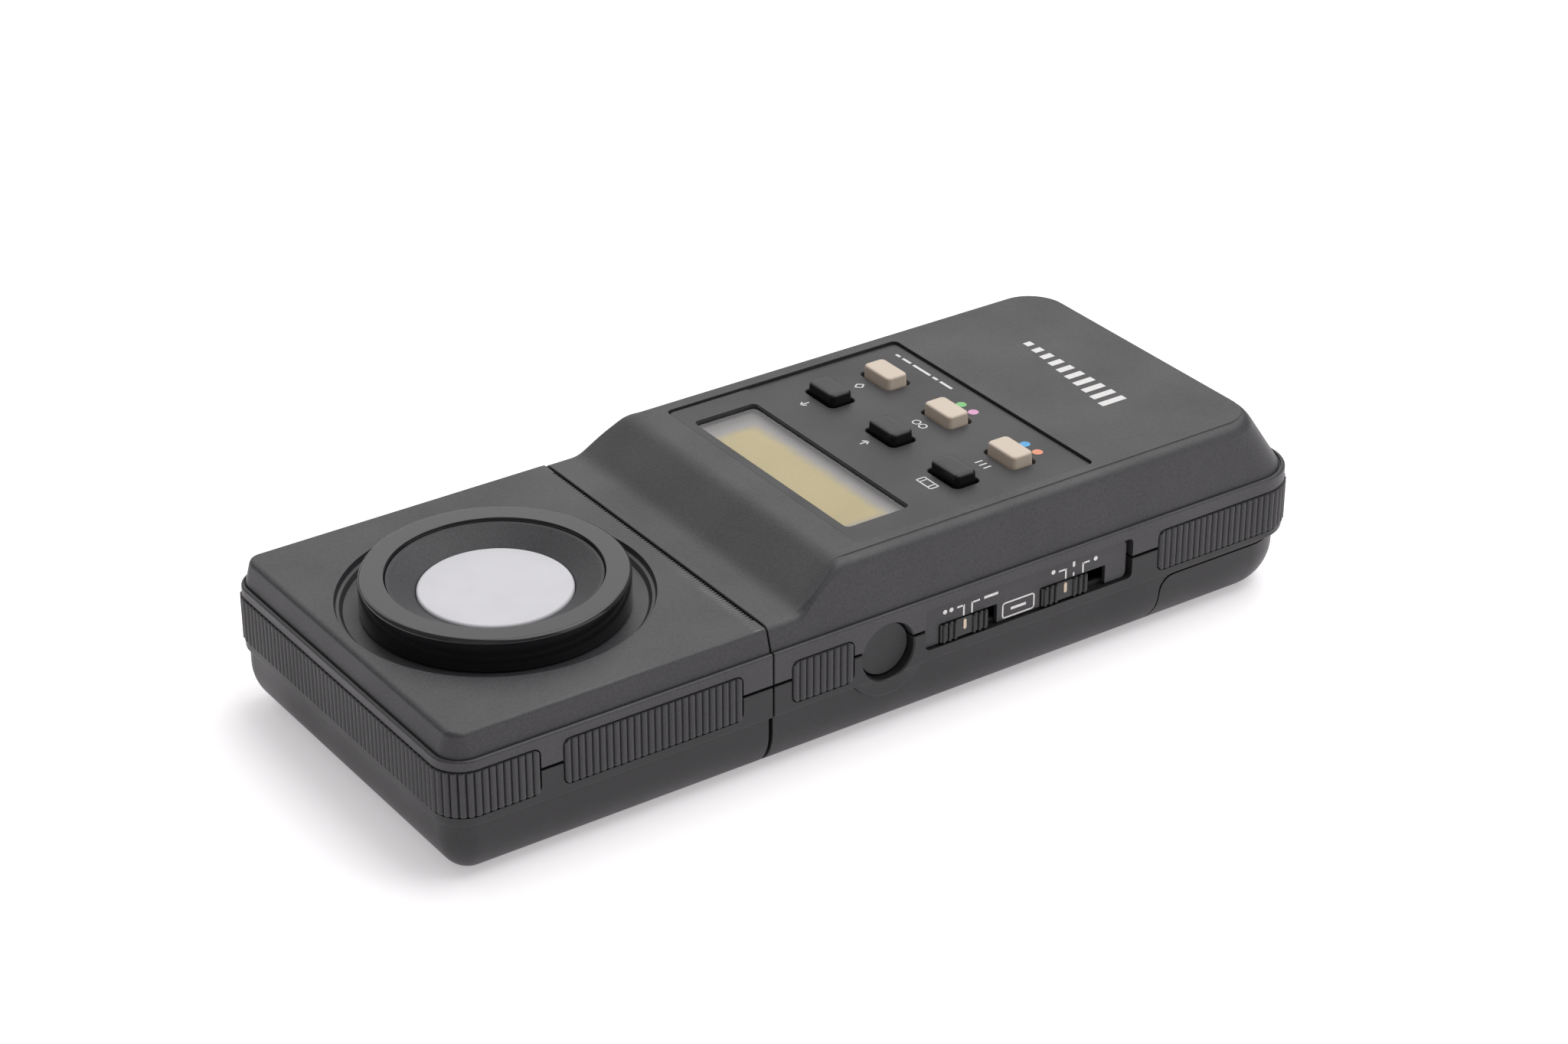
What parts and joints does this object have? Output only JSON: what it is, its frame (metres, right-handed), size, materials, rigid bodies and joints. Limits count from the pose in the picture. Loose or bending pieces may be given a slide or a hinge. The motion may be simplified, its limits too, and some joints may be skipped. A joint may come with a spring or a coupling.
{
  "type": "handheld light meter",
  "caption": "Slim black handheld colour light meter with a swivelling receptor head, white flat diffuser, small display, push keys and side slide switches.",
  "frame": {"origin": "on the flat back that the meter rests on, on its long centre line, 85 mm from the receptor end", "axes": "+Z out of the display, +Y along the meter towards the receptor head, +X across it, away from the side with the switches"},
  "size_m": [0.0724, 0.1731, 0.0345],
  "materials": {
    "shell": "fine moulded grain, satin black",
    "gloss_ring": "polished black",
    "matte_dish": "fine matte black",
    "opal_disc": "translucent white diffuser",
    "grip": "ribbed satin black",
    "panel": "smooth satin dark grey",
    "slider": "ribbed satin black",
    "window": "clear tinted window",
    "lcd": "yellow-green display",
    "inner_plastic": "plain black moulding",
    "dark_key": "glossy black cap",
    "pale_key": "warm beige cap",
    "circuit_board": "green solder mask",
    "silicone": "grey silicone",
    "metal_can": "nickel can",
    "spring_steel": "plain spring steel",
    "screw_steel": "plated steel",
    "red_glass": "red filter glass",
    "green_glass": "green filter glass",
    "blue_glass": "blue filter glass",
    "battery_can": "printed metal can",
    "red_wire": "red insulation",
    "black_wire": "black insulation"
  },
  "bodies": {
    "body": {"base_end_grip": "grip", "battery_block": "battery_can", "battery_lead_black": "black_wire", "battery_lead_red": "red_wire", "battery_snap": "inner_plastic", "body_front_shell": "shell", "body_rear_shell": "shell", "body_screw_1": "screw_steel", "body_screw_2": "screw_steel", "body_screw_3": "screw_steel", "body_screw_4": "screw_steel", "body_side_grip_left": "grip", "body_side_grip_right": "grip", "button_switch": "inner_plastic", "display_bezel": "panel", "film_switch": "inner_plastic", "friction_washer": "spring_steel", "key_mat": "silicone", "lcd_holder": "inner_plastic", "lcd_panel": "lcd", "lcd_window": "window", "main_board": "circuit_board", "mode_switch": "inner_plastic", "processor_chip": "inner_plastic", "side_board": "circuit_board", "switch_plate": "panel"},
    "head": {"head_front_shell": "shell", "head_rear_shell": "shell", "receptor_ring": "gloss_ring", "receptor_dish": "matte_dish", "diffuser_disc": "opal_disc", "sensor_board": "circuit_board", "photocell_holder": "inner_plastic", "photocell_red": "metal_can", "photocell_green": "metal_can", "photocell_blue": "metal_can", "filter_red": "red_glass", "filter_green": "green_glass", "filter_blue": "blue_glass", "head_end_grip": "grip", "head_side_grip_left": "grip", "head_side_grip_right": "grip", "head_screw_1": "screw_steel", "head_screw_2": "screw_steel", "head_screw_3": "screw_steel", "head_screw_4": "screw_steel", "swivel_spindle": "inner_plastic", "spindle_retainer": "spring_steel", "sensor_cable": "black_wire"},
    "door": {"battery_door": "shell", "battery_leaf_spring": "spring_steel"},
    "key_step_up": {"key_step_up": "dark_key"},
    "key_step_down": {"key_step_down": "dark_key"},
    "key_film_index": {"key_film_index": "dark_key"},
    "key_kelvin": {"key_kelvin": "pale_key"},
    "key_cc_index": {"key_cc_index": "pale_key"},
    "key_lb_index": {"key_lb_index": "pale_key"},
    "measuring_button": {"measuring_button": "shell"},
    "film_slider": {"film_slider": "slider"},
    "mode_slider": {"mode_slider": "slider"}
  },
  "joints": [
    {"name": "head_swivel", "type": "hinge", "parent": "body", "child": "head", "pos_m": [0, 0.025, 0.01348], "axis": [0, 1, 0], "range_deg": [-90, 180]},
    {"name": "battery_door_slide", "type": "slide", "parent": "body", "child": "door", "axis": [0, -1, 0], "range_m": [0, 0.032]},
    {"name": "key_step_up_press", "type": "slide", "parent": "body", "child": "key_step_up", "axis": [0, 0, -1], "range_m": [0, 0.0008], "stiffness_N_per_m": 1200, "springref_m": -0.0003},
    {"name": "key_step_down_press", "type": "slide", "parent": "body", "child": "key_step_down", "axis": [0, 0, -1], "range_m": [0, 0.0008], "stiffness_N_per_m": 1200, "springref_m": -0.0003},
    {"name": "key_film_index_press", "type": "slide", "parent": "body", "child": "key_film_index", "axis": [0, 0, -1], "range_m": [0, 0.0008], "stiffness_N_per_m": 1200, "springref_m": -0.0003},
    {"name": "key_kelvin_press", "type": "slide", "parent": "body", "child": "key_kelvin", "axis": [0, 0, -1], "range_m": [0, 0.0008], "stiffness_N_per_m": 1200, "springref_m": -0.0003},
    {"name": "key_cc_index_press", "type": "slide", "parent": "body", "child": "key_cc_index", "axis": [0, 0, -1], "range_m": [0, 0.0008], "stiffness_N_per_m": 1200, "springref_m": -0.0003},
    {"name": "key_lb_index_press", "type": "slide", "parent": "body", "child": "key_lb_index", "axis": [0, 0, -1], "range_m": [0, 0.0008], "stiffness_N_per_m": 1200, "springref_m": -0.0003},
    {"name": "measuring_button_press", "type": "slide", "parent": "body", "child": "measuring_button", "axis": [1, 0, 0], "range_m": [0, 0.001], "stiffness_N_per_m": 1500, "springref_m": -0.0003},
    {"name": "film_slider_travel", "type": "slide", "parent": "body", "child": "film_slider", "axis": [0, -1, 0], "range_m": [0, 0.002]},
    {"name": "mode_slider_travel", "type": "slide", "parent": "body", "child": "mode_slider", "axis": [0, -1, 0], "range_m": [0, 0.0038]}
  ]
}
